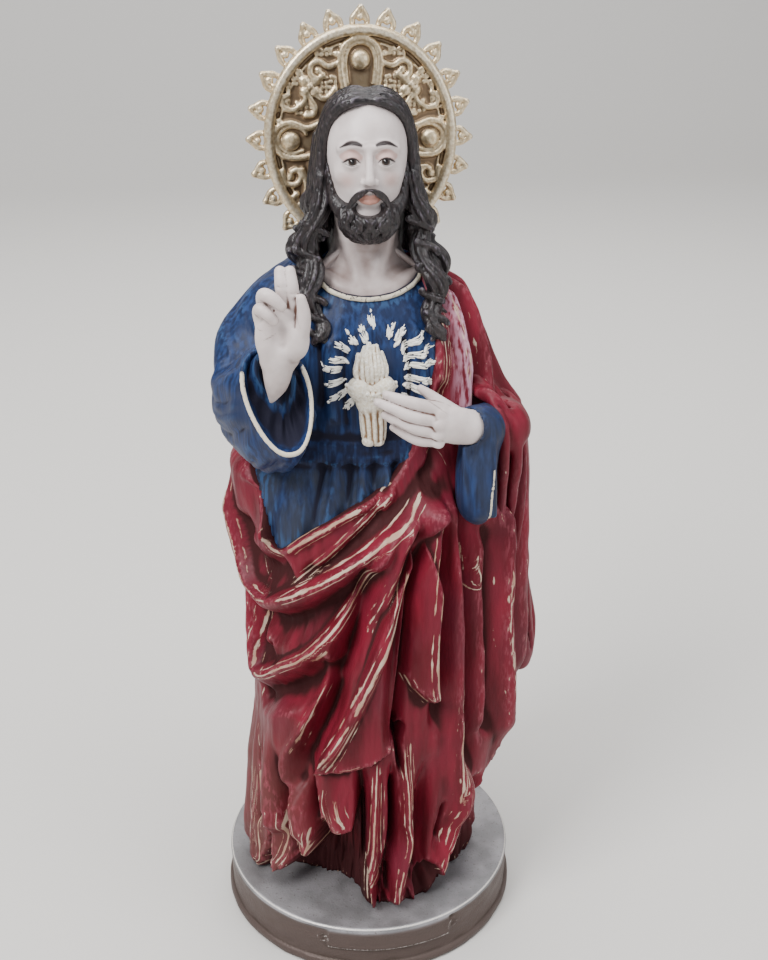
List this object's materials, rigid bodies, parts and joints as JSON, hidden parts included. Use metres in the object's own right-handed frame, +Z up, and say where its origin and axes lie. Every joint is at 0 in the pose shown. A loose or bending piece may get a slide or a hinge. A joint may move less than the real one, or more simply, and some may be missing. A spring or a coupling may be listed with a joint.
{
  "type": "sacred heart statuette",
  "caption": "Painted cast resin statuette of a robed, bearded figure blessing with one hand and pointing to a flaming heart, with an oval halo, on a round base.",
  "frame": {"origin": "centre of the round base's flat underside", "axes": "+Z up, the figure faces -Y, its left hand is towards +X"},
  "size_m": [0.076, 0.0713, 0.2087],
  "materials": {
    "mantle_red": "deep red paint with dark washes and cream dry brushing, satin varnish",
    "tunic_blue": "dark blue paint with lighter brush strokes, satin varnish",
    "skin": "pale flesh paint with a brown wash in the hollows",
    "hair": "near-black brown paint, satin",
    "gilt": "worn gold paint with brown in the recesses",
    "base_bronze": "dull silvery bronze paint, rubbed bright along the edge"
  },
  "bodies": {
    "root": {"figure": "mantle_red", "halo": "gilt", "base": "base_bronze"}
  },
  "joints": []
}
